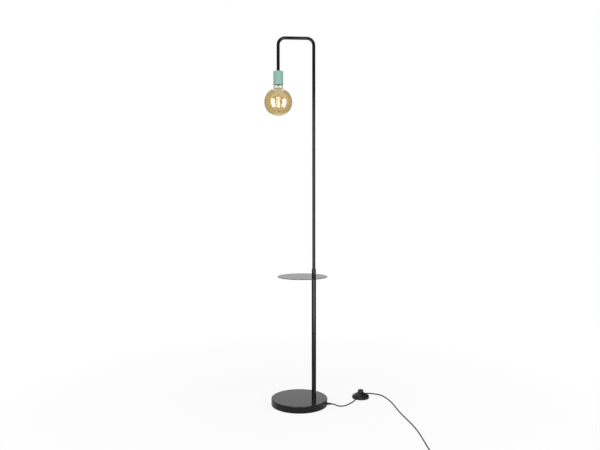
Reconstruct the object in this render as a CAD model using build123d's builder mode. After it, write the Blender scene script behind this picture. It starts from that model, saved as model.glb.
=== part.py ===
"""Floor lamp with a round shelf on its pole, a bent arm and a bare globe bulb.

Millimetres, +Z up. The origin is the middle of the base on the floor. The pole stands
on the +X side of the base and the arm reaches over to -X, all in the plane Y = 0.
"""

import math
import os

from build123d import *

os.makedirs("parts", exist_ok=True)

# Driving dimensions: base
base_d = 250.0
base_h = 30.0
base_sheet = 1.5
base_edge_r = 2.5
base_rim_lift = 1.5
pad_t = 3.0
pole_x = 65.0
nut_pocket_d = 48.0
channel_w = 14.0
channel_h = 14.0

# Driving dimensions: poles, shelf and arm
lower_d = 20.0
lower_wall = 1.2
lower_len = 541.5
shelf_d = 220.0
shelf_t = 2.5
shelf_edge_r = 0.8
shelf_offset = 51.0
collar_wall = 2.25
collar_len = 33.0
collar_edge_r = 1.2
tube_seat = 17.0
upper_wall = 1.0
upper_rise = 1041.0
arm_reach = 155.5
arm_bend_r = 30.5
arm_drop = 144.0

# Driving dimensions: hollow threaded rods and what they screw into
rod_d = 10.0
rod_bore = 7.0
rod_grip = 15.0
bush_len = 18.0
bush_wall = 0.9
washer_d = 40.0
washer_t = 2.5
nut_flats = 17.0
nut_t = 4.0
rod_end = 1.0
edge_break = 1.0

# Driving dimensions: lampholder
socket_d = 43.0
socket_wall = 1.2
socket_edge_r = 2.5
rim_overhang = 12.8
holder_wall = 2.2
holder_boss_d = 19.0
holder_boss_h = 1.8
holder_shoulder_h = 5.0
holder_top_t = 8.3
spigot_len = 2.2
skirt_len = 21.8
carrier_t = 6.0
shell_wall = 0.5
shell_len = 21.8
contact_w = 6.0
contact_t = 0.5
contact_reach = 8.0
contact_drop = 0.9
terminal_side = 5.0
terminal_corner_r = 0.6
terminal_h = 4.0
terminal_spread = 18.0
terminal_screw_d = 3.0
terminal_screw_h = 1.4
core_d = 1.6
core_spread = 2.6
core_bend_r = 0.48
core_end = 0.16

# Driving dimensions: bulb
globe_d = 122.0
glass_t = 0.8
neck_d = 41.6
neck_straight = 5.0
neck_below_rim = 8.0
shoulder_r = 6.0
neck_in_cap = 4.0
cap_d = 26.4
cap_wall = 0.4
cap_len = 20.0
insulator_len = 3.4
insulator_lip = 1.2
insulator_end_d = 12.0
tip_d = 9.6
tip_h = 1.9
stem_d = 7.0
stem_waist = 66.0
stem_rod_d = 3.0
stem_tail = -40.0
filament_count = 4
filament_turn = 0.0
filament_d = 2.2
filament_len = 51.0
filament_ring_top = 14.0
filament_ring_foot = 8.0
filament_top = 25.0
wire_d = 0.8

# Driving dimensions: mains lead and its strain relief on the base
cord_d = 5.5
exit_angle = -15.0
boot_len = 20.0
boot_root_d = 10.0
boot_tip_d = 7.5
boot_flange_d = 13.0
boot_flange_t = 2.0
boot_inside = 30.0
boot_run = 12.0
arc_share = 0.45

# Driving dimensions: foot switch
switch_x = 287.5
switch_y = 62.0
switch_angle = 53.0
switch_d = 78.0
switch_foot_t = 1.0
switch_foot_d = 10.0
switch_wall = 2.2
switch_split_z = 8.0
switch_rim_z = 10.5
dome_bulge = 1.2
top_ring_w = 3.2
button_d = 25.6
button_proud = 13.5
button_wall = 2.0
button_edge_r = 2.0
button_travel = 4.0
flange_lip = 2.2
flange_t = 2.2
post_d = 7.0
plunger_d = 6.0
plunger_lap = 2.5
plunger_show = 2.5
block_len = 24.0
block_w = 18.0
block_h = 10.0
screw_inset = 10.0
screw_count = 3
screw_turn = 30.0
screw_d = 3.0
screw_head_d = 5.6
screw_head_h = 1.4
screw_len = 10.0
boss_d = 7.0
lead_inside = 12.0
lead_run_in = 12.0
lead_run_out = 10.0

# Driving dimensions: coil, tie and plug
coil_x = 392.0
coil_y = -622.0
coil_inner_r = 23.5
coil_step = 6.6
coil_layer = 6.1
coil_turns_in = 2.25
coil_turns_out = 2.5
coil_entry_run = 35.0
coil_exit_run = 16.5
tie_w = 9.0
tie_t = 0.8
plug_boot_len = 28.0
plug_boot_d = 11.0
plug_boot_lip = 0.4
plug_len = 38.0
plug_w = 36.0
plug_corner_r = 6.0
plug_root_side = 7.2
plug_root_top = 2.0
pin_d = 4.0
pin_len = 19.0
pin_spacing = 19.0
pin_root = 6.0

# Clearances
seat_gap = 0.3
slide_gap = 0.4
thread_gap = 0.05
hole_gap = 0.2
tie_gap = 0.3
neck_gap = 0.8
cover_gap = 0.7

# Worked-out heights and places
shelf_bottom = base_h + lower_len
shelf_top = shelf_bottom + shelf_t
bar_z = shelf_top + upper_rise
arm_x = pole_x - arm_reach
socket_top = bar_z - arm_drop
plate_z = base_h - base_sheet
exit_z = pad_t + channel_h / 2
rod_hole_d = rod_d + 2 * hole_gap
thread_d = rod_d + 2 * thread_gap
upper_bush_d = thread_d + 2 * bush_wall
upper_d = upper_bush_d + 2 * thread_gap + 2 * upper_wall
collar_d = upper_d + 2 * collar_wall
cord_r = cord_d / 2
lead_hole_d = cord_d + 2 * hole_gap
arm_axis = Axis((arm_x, 0, 0), (0, 0, 1))
arm_plane = Plane(origin=(arm_x, 0, 0), x_dir=(1, 0, 0), z_dir=(0, -1, 0))


def save(piece, label):
    """Label a finished piece and write it to its own file."""
    piece.part.label = label
    export_step(piece.part, f"parts/{label}.step")


def hollow_rod(label, x, z_low, z_high, outside, bore):
    """A straight tube or ring on a vertical axis at (x, 0)."""
    with BuildPart() as piece:
        with BuildSketch(Plane.XY.offset(z_low)):
            with Locations((x, 0)):
                Circle(outside / 2)
                Circle(bore / 2, mode=Mode.SUBTRACT)
        extrude(amount=z_high - z_low)
    save(piece, label)


# Base: pressed steel cover, cast weight, felt pad
exit_dir = Vector(math.cos(math.radians(exit_angle)), math.sin(math.radians(exit_angle)), 0)
exit_plane = Plane(origin=(0, 0, exit_z), x_dir=(0, 0, 1), z_dir=exit_dir)
boot_seat = base_d / 2 - base_sheet
weight_r = boot_seat - seat_gap
channel_turn = exit_dir * (base_d / 2 - boot_inside) + Vector(0, 0, exit_z)
channel_run = Vector(channel_turn.X - pole_x, channel_turn.Y, 0)
channel_angle = math.degrees(math.atan2(channel_run.Y, channel_run.X))

with BuildPart() as base_cover:
    with BuildSketch(Plane.XY.offset(base_rim_lift)):
        Circle(base_d / 2)
    extrude(amount=base_h - base_rim_lift)
    fillet(base_cover.edges().group_by(Axis.Z)[-1], base_edge_r)
    offset(amount=-base_sheet, openings=base_cover.faces().sort_by(Axis.Z)[0])
    with Locations((pole_x, 0, base_h)):
        Hole(rod_hole_d / 2, depth=2 * base_sheet)
    with BuildSketch(exit_plane.offset(boot_seat - base_sheet)):
        Circle(boot_root_d / 2 + hole_gap)
    extrude(amount=3 * base_sheet, mode=Mode.SUBTRACT)
save(base_cover, "base_cover")

with BuildPart() as base_weight:
    with BuildSketch(Plane.XY.offset(pad_t)):
        Circle(weight_r)
        with Locations((pole_x, 0)):
            Circle(nut_pocket_d / 2, mode=Mode.SUBTRACT)
    extrude(amount=plate_z - pad_t)
    fillet(base_weight.edges().group_by(Axis.Z)[-1].sort_by(SortBy.LENGTH)[-1], base_edge_r)
    with BuildSketch(Plane.XY.offset(pad_t)):
        with Locations((pole_x + channel_run.X / 2, channel_run.Y / 2)):
            SlotCenterToCenter(channel_run.length, channel_w, rotation=channel_angle)
        with Locations(exit_dir * (base_d / 2)):
            Rectangle(2 * boot_inside, channel_w, rotation=exit_angle)
    extrude(amount=channel_h, mode=Mode.SUBTRACT)
save(base_weight, "base_weight")

with BuildPart() as base_pad:
    with BuildSketch():
        Circle(weight_r - seat_gap)
    extrude(amount=pad_t)
save(base_pad, "base_pad")

# Foot of the pole: hollow threaded rod, wide washer and nut under the cover
washer_z = plate_z - washer_t
nut_z = washer_z - nut_t
base_rod_z = nut_z - rod_end
hollow_rod("base_rod", pole_x, base_rod_z, base_h + rod_grip, rod_d, rod_bore)
hollow_rod("base_washer", pole_x, washer_z, plate_z, washer_d, rod_hole_d)

with BuildPart() as base_nut:
    with BuildSketch(Plane.XY.offset(nut_z)):
        with Locations((pole_x, 0)):
            RegularPolygon(nut_flats / 2, 6, major_radius=False)
            Circle(thread_d / 2, mode=Mode.SUBTRACT)
    extrude(amount=nut_t)
save(base_nut, "base_nut")

# Lower pole with a threaded bush pressed into each end
lower_bore = lower_d - 2 * lower_wall
lower_bush_d = lower_bore - 2 * thread_gap
hollow_rod("lower_pole", pole_x, base_h, shelf_bottom, lower_d, lower_bore)
hollow_rod("lower_pole_foot_bush", pole_x, base_h, base_h + bush_len, lower_bush_d, thread_d)
hollow_rod("lower_pole_top_bush", pole_x, shelf_bottom - bush_len, shelf_bottom, lower_bush_d, thread_d)

# Shelf, clamped between the lower pole and the collar
with BuildPart() as shelf:
    with BuildSketch(Plane.XY.offset(shelf_bottom)):
        with Locations((pole_x - shelf_offset, 0)):
            Circle(shelf_d / 2)
        with Locations((pole_x, 0)):
            Circle(rod_hole_d / 2, mode=Mode.SUBTRACT)
    extrude(amount=shelf_t)
    fillet(shelf.edges().sort_by(SortBy.LENGTH)[-2:], shelf_edge_r)
save(shelf, "shelf")

hollow_rod("shelf_rod", pole_x, shelf_bottom - rod_grip, shelf_top + rod_grip, rod_d, rod_bore)

# Collar: screws down on the shelf, and the upper tube stands in its counterbore
tube_foot = shelf_top + collar_len - tube_seat
with BuildPart() as shelf_collar:
    with BuildSketch(Plane.XY.offset(shelf_top)):
        with Locations((pole_x, 0)):
            Circle(collar_d / 2)
    extrude(amount=collar_len)
    fillet(shelf_collar.edges().group_by(Axis.Z)[-1], collar_edge_r)
    with Locations((pole_x, 0, shelf_top + collar_len)):
        CounterBoreHole(thread_d / 2, upper_d / 2 + thread_gap, tube_seat)
save(shelf_collar, "shelf_collar")

# Upper pole and arm: one tube, bent twice
with BuildPart() as upper_pole:
    with BuildLine() as arm_line:
        FilletPolyline(
            (pole_x, 0, tube_foot),
            (pole_x, 0, bar_z),
            (arm_x, 0, bar_z),
            (arm_x, 0, socket_top),
            radius=arm_bend_r,
        )
    with BuildSketch(Plane.XY.offset(tube_foot)):
        with Locations((pole_x, 0)):
            Circle(upper_d / 2)
            Circle(upper_d / 2 - upper_wall, mode=Mode.SUBTRACT)
    sweep(path=arm_line.wires()[0])
save(upper_pole, "upper_pole")

hollow_rod("arm_end_bush", arm_x, socket_top, socket_top + bush_len, upper_bush_d, thread_d)

# Lampholder, stacked down from the end of the arm: the wiring space sets its length
socket_bore = socket_d - 2 * socket_wall
holder_d = socket_bore - 2 * cover_gap
shell_d = cap_d + 2 * slide_gap + 2 * shell_wall
spigot_d = holder_d - 2 * holder_wall - 2 * hole_gap
core_turn_r = core_bend_r + core_d / 2
core_drop = core_turn_r + core_end
wiring_h = terminal_h + core_drop + core_d / 2 + hole_gap
cap_top = socket_top - socket_wall
cavity_top = cap_top - holder_top_t
terminal_z = cavity_top - wiring_h
carrier_z = terminal_z - carrier_t
cap_foot = carrier_z - spigot_len
skirt_foot = cap_foot - skirt_len
socket_rim = skirt_foot - rim_overhang
socket_len = socket_top - socket_rim
hollow_rod("socket_rod", arm_x, cavity_top + rod_end, socket_top + rod_grip, rod_d, rod_bore)

with BuildPart() as socket_cover:
    with BuildSketch(Plane.XY.offset(socket_rim)):
        with Locations((arm_x, 0)):
            Circle(socket_d / 2)
    extrude(amount=socket_len)
    fillet(socket_cover.edges().group_by(Axis.Z)[-1], socket_edge_r)
    offset(amount=-socket_wall, openings=socket_cover.faces().sort_by(Axis.Z)[0])
    with Locations((arm_x, 0, socket_top)):
        Hole(rod_hole_d / 2, depth=2 * socket_wall)
save(socket_cover, "socket_cover")

with BuildPart() as holder_cap:
    with BuildSketch(arm_plane):
        with BuildLine():
            Polyline(
                (thread_d / 2, cap_top),
                (holder_boss_d / 2, cap_top),
                (holder_boss_d / 2, cap_top - holder_boss_h),
                (holder_d / 2, cap_top - holder_boss_h - holder_shoulder_h),
                (holder_d / 2, cap_foot),
                (holder_d / 2 - holder_wall, cap_foot),
                (holder_d / 2 - holder_wall, cavity_top),
                (thread_d / 2, cavity_top),
                close=True,
            )
        make_face()
    revolve(axis=arm_axis)
save(holder_cap, "holder_cap")

with BuildPart() as holder_skirt:
    with BuildSketch(arm_plane):
        with BuildLine():
            Polyline(
                (shell_d / 2 + hole_gap / 2, skirt_foot),
                (holder_d / 2, skirt_foot),
                (holder_d / 2, cap_foot),
                (spigot_d / 2, cap_foot),
                (spigot_d / 2, carrier_z),
                (shell_d / 2 + hole_gap / 2, carrier_z),
                close=True,
            )
        make_face()
    revolve(axis=arm_axis)
    chamfer(holder_skirt.edges().group_by(Axis.Z)[0].sort_by(SortBy.LENGTH)[-1], edge_break)
save(holder_skirt, "holder_skirt")

hollow_rod("thread_shell", arm_x, carrier_z - shell_len, carrier_z, shell_d, shell_d - 2 * shell_wall)

with BuildPart() as contact_carrier:
    with BuildSketch(Plane.XY.offset(carrier_z)):
        with Locations((arm_x, 0)):
            Circle(spigot_d / 2)
    extrude(amount=carrier_t)
    chamfer(contact_carrier.edges().group_by(Axis.Z)[-1], edge_break)
save(contact_carrier, "contact_carrier")

# Centre contact: a bent strip on the carrier, just above the bulb's tip
with BuildPart() as centre_contact:
    with BuildSketch(Plane.XZ.offset(contact_w / 2)):
        with BuildLine():
            Polyline(
                (arm_x - contact_reach, carrier_z),
                (arm_x - contact_reach / 2, carrier_z),
                (arm_x - tip_d / 4, carrier_z - contact_drop),
                (arm_x + tip_d / 4, carrier_z - contact_drop),
                (arm_x + tip_d / 4, carrier_z - contact_drop - contact_t),
                (arm_x - tip_d / 4 - contact_t / 2, carrier_z - contact_drop - contact_t),
                (arm_x - contact_reach / 2 - contact_t / 2, carrier_z - contact_t),
                (arm_x - contact_reach, carrier_z - contact_t),
                close=True,
            )
        make_face()
    extrude(amount=-contact_w)
save(centre_contact, "centre_contact")

with BuildPart() as terminals:
    with BuildSketch(Plane.XY.offset(terminal_z)):
        with Locations((arm_x - terminal_spread / 2, 0), (arm_x + terminal_spread / 2, 0)):
            RectangleRounded(terminal_side, terminal_side, terminal_corner_r)
    extrude(amount=terminal_h)
save(terminals, "terminals")

with BuildPart() as terminal_screws:
    for side in (-1, 1):
        face_x = arm_x + side * (terminal_spread + terminal_side) / 2
        screw_plane = Plane(origin=(face_x, 0, terminal_z + terminal_h / 2), z_dir=(side, 0, 0))
        with BuildSketch(screw_plane):
            Circle(terminal_screw_d / 2)
        extrude(amount=terminal_screw_h)
save(terminal_screws, "terminal_screws")

# Two cores fan out from the end of the inner lead to the terminals
core_level = terminal_z + terminal_h + core_drop
inner_lead_end = core_level + core_drop
with BuildPart() as holder_cores:
    for side in (-1, 1):
        near_x = arm_x + side * core_spread / 2
        far_x = arm_x + side * terminal_spread / 2
        with BuildLine() as core_line:
            FilletPolyline(
                (near_x, 0, inner_lead_end),
                (near_x, 0, core_level),
                (far_x, 0, core_level),
                (far_x, 0, terminal_z + terminal_h),
                radius=core_turn_r,
            )
        with BuildSketch(Plane.XY.offset(inner_lead_end)):
            with Locations((near_x, 0)):
                Circle(core_d / 2)
        sweep(path=core_line.wires()[0])
save(holder_cores, "holder_cores")


# Bulb: its tip hangs under the contact and its wide neck starts below the socket's rim.
# Heights inside the bulb count up from the middle of the globe.
hollow_x = neck_d / 2 + shoulder_r
hollow_z = math.sqrt((globe_d / 2 + shoulder_r) ** 2 - hollow_x**2)
neck_end_d = cap_d - 2 * cap_wall - 2 * slide_gap
globe_z = socket_rim - neck_below_rim - neck_straight - hollow_z
bulb_top = carrier_z - contact_drop - contact_t - seat_gap
tip_z = bulb_top - tip_h - globe_z
cap_rim = tip_z - insulator_len - cap_len
neck_len = cap_rim + neck_in_cap


# Globe and neck are one blown glass wall, made from two concentric outlines
def glass_outline(inset):
    """Half outline of the glass, moved inwards by inset, closed on the bulb's axis."""
    ball_r = globe_d / 2 - inset
    hollow_r = shoulder_r + inset
    share = ball_r / (globe_d / 2 + shoulder_r)
    touch = (hollow_x * share, globe_z + hollow_z * share)
    neck = (neck_d / 2 - inset, globe_z + hollow_z)
    neck_top = (neck_d / 2 - inset, socket_rim - neck_below_rim)
    at_rim = (socket_bore / 2 - neck_gap - inset, socket_rim)
    end_r = neck_end_d / 2 - inset
    waist = (end_r, globe_z + cap_rim - slide_gap)
    top = globe_z + neck_len
    side_angle = math.atan2(hollow_z, hollow_x) / 2 - math.pi / 4
    side = (ball_r * math.cos(side_angle), globe_z + ball_r * math.sin(side_angle))
    lean = (math.pi + math.atan2(hollow_z, hollow_x)) / 2 + math.pi / 2
    mid = (hollow_x + hollow_r * math.cos(lean), globe_z + hollow_z + hollow_r * math.sin(lean))
    ThreePointArc((0, globe_z - ball_r), side, touch)
    ThreePointArc(touch, mid, neck)
    Line(neck, neck_top)
    ThreePointArc(neck_top, at_rim, waist)
    Polyline(waist, (end_r, top), (0, top), (0, globe_z - ball_r))


with BuildPart() as bulb_glass:
    with BuildSketch(arm_plane):
        with BuildLine():
            glass_outline(0)
        make_face()
    revolve(axis=arm_axis)
    with BuildSketch(arm_plane):
        with BuildLine():
            glass_outline(glass_t)
        make_face()
    revolve(axis=arm_axis, mode=Mode.SUBTRACT)
save(bulb_glass, "bulb_glass")

with BuildPart() as bulb_cap:
    with BuildSketch(arm_plane):
        with BuildLine():
            Polyline(
                (cap_d / 2 - cap_wall, globe_z + cap_rim),
                (cap_d / 2, globe_z + cap_rim),
                (cap_d / 2, globe_z + cap_rim + cap_len),
                (insulator_end_d / 2, globe_z + cap_rim + cap_len),
                (insulator_end_d / 2, globe_z + cap_rim + cap_len - cap_wall),
                (cap_d / 2 - cap_wall, globe_z + cap_rim + cap_len - cap_wall),
                close=True,
            )
        make_face()
    revolve(axis=arm_axis)
    chamfer(bulb_cap.edges().group_by(Axis.Z)[-1].sort_by(SortBy.LENGTH)[-1], cap_wall / 2)
save(bulb_cap, "bulb_cap")

with BuildPart() as bulb_insulator:
    with BuildSketch(Plane.XY.offset(globe_z + cap_rim + cap_len)):
        with Locations((arm_x, 0)):
            Circle(cap_d / 2 - insulator_lip)
    with BuildSketch(Plane.XY.offset(globe_z + tip_z)):
        with Locations((arm_x, 0)):
            Circle(insulator_end_d / 2)
    loft()
save(bulb_insulator, "bulb_insulator")

with BuildPart() as bulb_tip:
    with BuildSketch(Plane.XY.offset(globe_z + tip_z)):
        with Locations((arm_x, 0)):
            Circle(tip_d / 2)
    extrude(amount=tip_h)
    fillet(bulb_tip.edges().group_by(Axis.Z)[-1], tip_h / 2)
save(bulb_tip, "bulb_tip")

# Glass mount inside the bulb: flared foot in the neck, pinch, then a thin support rod
stem_seat_d = neck_end_d - 2 * glass_t - 2 * thread_gap
pinch_foot = filament_top + 2 * wire_d
pinch_top = pinch_foot + stem_d
with BuildPart() as bulb_stem:
    with BuildSketch(arm_plane):
        with BuildLine():
            Polyline(
                (0, globe_z + stem_tail),
                (stem_rod_d / 2, globe_z + stem_tail),
                (stem_rod_d / 2, globe_z + pinch_foot),
                (stem_d / 2, globe_z + pinch_top),
                (stem_d / 2, globe_z + stem_waist),
            )
            TangentArc(
                (stem_d / 2, globe_z + stem_waist),
                (stem_seat_d / 2, globe_z + cap_rim),
                tangent=(0, 1),
            )
            Polyline(
                (stem_seat_d / 2, globe_z + cap_rim),
                (stem_seat_d / 2, globe_z + neck_len),
                (0, globe_z + neck_len),
                (0, globe_z + stem_tail),
            )
        make_face()
    revolve(axis=arm_axis)
save(bulb_stem, "bulb_stem")

# Filaments stand round the support rod, wider apart at the top; a wire spoke at each end carries them
filament_foot = filament_top - filament_len
with BuildPart() as filaments:
    for index in range(filament_count):
        angle = math.radians(filament_turn + 360 * index / filament_count)
        for height, ring in ((filament_foot, filament_ring_foot), (filament_top, filament_ring_top)):
            with BuildSketch(Plane.XY.offset(globe_z + height)):
                with Locations((arm_x + ring / 2 * math.cos(angle), ring / 2 * math.sin(angle))):
                    Circle(filament_d / 2)
        loft()
save(filaments, "filaments")

with BuildPart() as filament_wires:
    for height, ring in ((filament_foot - wire_d, filament_ring_foot), (filament_top, filament_ring_top)):
        with BuildSketch(Plane.XY.offset(globe_z + height)):
            with Locations((arm_x, 0)):
                Circle((stem_rod_d + 2 * wire_d) / 2)
                Circle(stem_rod_d / 2 + thread_gap, mode=Mode.SUBTRACT)
                spoke_in = (stem_rod_d + wire_d) / 2
                spoke_out = (ring + filament_d) / 2
                with PolarLocations((spoke_in + spoke_out) / 2, filament_count, start_angle=filament_turn):
                    Rectangle(spoke_out - spoke_in, wire_d)
        extrude(amount=wire_d)
save(filament_wires, "filament_wires")

# Strain relief on the base: flange inside the wall, tapered tail outside
boot_out = base_d / 2 + boot_len
with BuildPart() as base_boot:
    with BuildSketch(exit_plane.offset(boot_seat - boot_flange_t)):
        Circle(boot_flange_d / 2)
    extrude(amount=boot_flange_t - seat_gap)
    with BuildSketch(exit_plane.offset(boot_seat - boot_flange_t)):
        Circle(boot_root_d / 2)
    extrude(amount=boot_flange_t + base_sheet)
    with BuildSketch(exit_plane.offset(base_d / 2)):
        Circle(boot_root_d / 2)
    with BuildSketch(exit_plane.offset(boot_out)):
        Circle(boot_tip_d / 2)
    loft()
    with BuildSketch(exit_plane.offset(boot_seat - boot_flange_t)):
        Circle(lead_hole_d / 2)
    extrude(amount=boot_len + boot_flange_t + base_sheet, mode=Mode.SUBTRACT)
save(base_boot, "base_boot")


def cord_radii(points):
    """As large an arc at each corner as the two runs beside it leave room for."""
    radii = []
    for before, here, after in zip(points, points[1:], points[2:]):
        run_in = here - before
        run_out = after - here
        half_turn = math.radians(run_in.get_angle(run_out)) / 2
        radii.append(arc_share * min(run_in.length, run_out.length) / math.tan(half_turn))
    return radii


def cord_tube(label, points, radii):
    """A round tube along straight runs and tangent arcs, with its sizes printed."""
    with BuildPart() as piece:
        with BuildLine() as route:
            FilletPolyline(*points, radius=radii)
        with BuildSketch(Plane(origin=points[0], z_dir=points[1] - points[0])):
            Circle(cord_r)
        sweep(path=route.wires()[0])
    length = route.wires()[0].length
    share = piece.part.volume / (math.pi * cord_r**2 * length)
    print(label, "length", round(length, 1), "radii", [round(r, 1) for r in radii])
    print(label, "volume over section times length", round(share, 4))
    save(piece, label)


# Inner lead: boot, channel in the weight, up both poles and round the arm
boot_end = exit_dir * boot_out + Vector(0, 0, exit_z)
pole_turn = Vector(pole_x, 0, exit_z)
inner_points = [
    boot_end,
    channel_turn,
    pole_turn,
    Vector(pole_x, 0, bar_z),
    Vector(arm_x, 0, bar_z),
    Vector(arm_x, 0, inner_lead_end),
]
pole_turn_r = base_rod_z - exit_z - rod_end / 2
channel_turn_r = cord_radii(inner_points)[0]
cord_tube("inner_lead", inner_points, [channel_turn_r, pole_turn_r, arm_bend_r, arm_bend_r])

# Foot switch frame: U runs along the lead, through the middle of the switch
switch_u = Vector(math.cos(math.radians(switch_angle)), math.sin(math.radians(switch_angle)), 0)
switch_v = Vector(-switch_u.Y, switch_u.X, 0)
switch_mid = Vector(switch_x, switch_y, 0)
switch_axis = Axis((switch_x, switch_y, 0), (0, 0, 1))
switch_flat = Plane(origin=switch_mid, x_dir=switch_u, z_dir=(0, 0, 1))
switch_side = Plane(origin=switch_mid, x_dir=switch_u, z_dir=-switch_v)
lead_level = Vector(0, 0, switch_split_z)
lead_stop = switch_d / 2 - lead_inside

# Free lead from the base to the switch: droops to the floor and bends round to it
first_points = [
    boot_end,
    boot_end + exit_dir * boot_run,
    Vector(172, -47, cord_r),
    Vector(192, -45, cord_r),
    Vector(211, -33.5, cord_r),
    Vector(228.5, -14, cord_r),
    Vector(245.5, 6, cord_r),
    switch_mid + lead_level - switch_u * (switch_d / 2 + lead_run_in),
    switch_mid + lead_level - switch_u * lead_stop,
]
cord_tube("lead_base_to_switch", first_points, cord_radii(first_points))

# Foot switch housing
switch_r = switch_d / 2
screw_ring = switch_d - 2 * screw_inset
floor_z = switch_foot_t + switch_wall
block_top = floor_z + block_h
post_foot = block_top + plunger_show + button_travel
flange_top = post_foot + flange_t
lip_z = flange_top + slide_gap
switch_top_z = lip_z + switch_wall
switch_top_d = button_d + 2 * top_ring_w
button_top_z = switch_top_z + button_proud
with BuildPart() as switch_base:
    with BuildSketch(switch_flat.offset(switch_foot_t)):
        Circle(switch_r)
    extrude(amount=switch_split_z - switch_foot_t)
    with BuildSketch(switch_flat.offset(floor_z)):
        Circle(switch_r - switch_wall)
    extrude(amount=switch_split_z - floor_z, mode=Mode.SUBTRACT)
    fillet(switch_base.edges().group_by(Axis.Z)[0], switch_wall / 2)
    with BuildSketch(switch_flat.offset(floor_z)):
        with PolarLocations(screw_ring / 2, screw_count, start_angle=screw_turn):
            Circle(boss_d / 2)
    extrude(amount=switch_split_z - floor_z)
    with BuildSketch(switch_flat.offset(switch_foot_t)):
        with PolarLocations(screw_ring / 2, screw_count, start_angle=screw_turn):
            Circle(screw_d / 2 + hole_gap)
    extrude(amount=switch_split_z, mode=Mode.SUBTRACT)
    with BuildSketch(switch_flat.offset(switch_foot_t)):
        with PolarLocations(screw_ring / 2, screw_count, start_angle=screw_turn):
            Circle(screw_head_d / 2 + hole_gap)
    extrude(amount=screw_head_h, mode=Mode.SUBTRACT)
    with BuildSketch(Plane(origin=switch_mid + lead_level, z_dir=switch_u)):
        Circle(lead_hole_d / 2)
    extrude(amount=switch_d, both=True, mode=Mode.SUBTRACT)
save(switch_base, "switch_base")

dome_run = Vector(switch_r - switch_top_d / 2, switch_top_z - switch_rim_z)
dome_out = Vector(dome_run.Y, dome_run.X).normalized() * dome_bulge
dome_x = (switch_r + switch_top_d / 2) / 2 + dome_out.X
dome_z = (switch_rim_z + switch_top_z) / 2 + dome_out.Y
with BuildPart() as switch_cover:
    with BuildSketch(switch_side):
        with BuildLine():
            Line((0, switch_split_z), (switch_r, switch_split_z))
            Line((switch_r, switch_split_z), (switch_r, switch_rim_z))
            ThreePointArc(
                (switch_r, switch_rim_z),
                (dome_x, dome_z),
                (switch_top_d / 2, switch_top_z),
            )
            Line((switch_top_d / 2, switch_top_z), (0, switch_top_z))
            Line((0, switch_top_z), (0, switch_split_z))
        make_face()
    revolve(axis=switch_axis)
    offset(amount=-switch_wall, openings=switch_cover.faces().sort_by(Axis.Z)[0])
    with BuildSketch(switch_flat.offset(switch_split_z)):
        with PolarLocations(screw_ring / 2, screw_count, start_angle=screw_turn):
            Circle(boss_d / 2)
            Circle(screw_d / 2 + thread_gap, mode=Mode.SUBTRACT)
    extrude(until=Until.NEXT)
    with BuildSketch(switch_flat.offset(lip_z)):
        Circle(button_d / 2 + slide_gap)
    extrude(amount=2 * switch_wall, mode=Mode.SUBTRACT)
    with BuildSketch(Plane(origin=switch_mid + lead_level, z_dir=switch_u)):
        Circle(lead_hole_d / 2)
    extrude(amount=switch_d, both=True, mode=Mode.SUBTRACT)
save(switch_cover, "switch_cover")

with BuildPart() as switch_feet:
    with BuildSketch(switch_flat):
        with PolarLocations(screw_ring / 2, screw_count, start_angle=screw_turn):
            Circle(switch_foot_d / 2)
    extrude(amount=switch_foot_t)
save(switch_feet, "switch_feet")

with BuildPart() as switch_screws:
    with BuildSketch(switch_flat.offset(switch_foot_t)):
        with PolarLocations(screw_ring / 2, screw_count, start_angle=screw_turn):
            Circle(screw_head_d / 2)
    extrude(amount=screw_head_h)
    with BuildSketch(switch_flat.offset(switch_foot_t)):
        with PolarLocations(screw_ring / 2, screw_count, start_angle=screw_turn):
            Circle(screw_d / 2)
    extrude(amount=screw_len)
save(switch_screws, "switch_screws")

# Latching switch block on the floor of the housing, with a well for its plunger
plunger_foot = block_top - plunger_lap
well_depth = plunger_lap + button_travel + slide_gap
with BuildPart() as switch_block:
    with BuildSketch(switch_flat.offset(floor_z)):
        RectangleRounded(block_len, block_w, switch_wall / 2)
    extrude(amount=block_h)
    chamfer(switch_block.faces().sort_by(Axis.Z)[-1].edges(), switch_wall / 4)
    with BuildSketch(switch_flat.offset(block_top - well_depth)):
        Circle(plunger_d / 2 + slide_gap)
    extrude(amount=well_depth, mode=Mode.SUBTRACT)
save(switch_block, "switch_block")

with BuildPart() as switch_button:
    with BuildSketch(switch_flat.offset(post_foot)):
        Circle(button_d / 2)
    extrude(amount=button_top_z - post_foot)
    fillet(switch_button.edges().group_by(Axis.Z)[-1], button_edge_r)
    with BuildSketch(switch_flat.offset(post_foot)):
        Circle(button_d / 2 - button_wall)
    extrude(amount=button_top_z - button_wall - post_foot, mode=Mode.SUBTRACT)
    with BuildSketch(switch_flat.offset(post_foot)):
        Circle(button_d / 2 + flange_lip)
        Circle(button_d / 2 - button_wall, mode=Mode.SUBTRACT)
    extrude(amount=flange_t)
    with BuildSketch(switch_flat.offset(post_foot)):
        Circle(post_d / 2)
    extrude(amount=button_top_z - button_wall - post_foot)
save(switch_button, "switch_button")

with BuildPart() as switch_plunger:
    with BuildSketch(switch_flat.offset(plunger_foot)):
        Circle(plunger_d / 2)
    extrude(amount=post_foot - plunger_foot)
save(switch_plunger, "switch_plunger")

# Bare cores between the cut ends of the lead and the switch block
core_run = lead_stop - block_len / 2
with BuildPart() as switch_cores:
    for side in (-1, 1):
        core_plane = Plane(
            origin=switch_mid + lead_level + switch_u * (side * block_len / 2),
            x_dir=switch_v,
            z_dir=switch_u * side,
        )
        with BuildSketch(core_plane):
            with GridLocations(core_spread, 1, 2, 1):
                Circle(core_d / 2)
        extrude(amount=core_run)
save(switch_cores, "switch_cores")

# Coil of the spare lead: spirals in on the floor layer, climbs, and spirals out on top
coil_low = tie_t + tie_gap + cord_r
coil_high = coil_low + coil_layer
coil_start_r = coil_inner_r + coil_turns_in * coil_step
coil_mid = Vector(coil_x, coil_y, 0)


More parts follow.
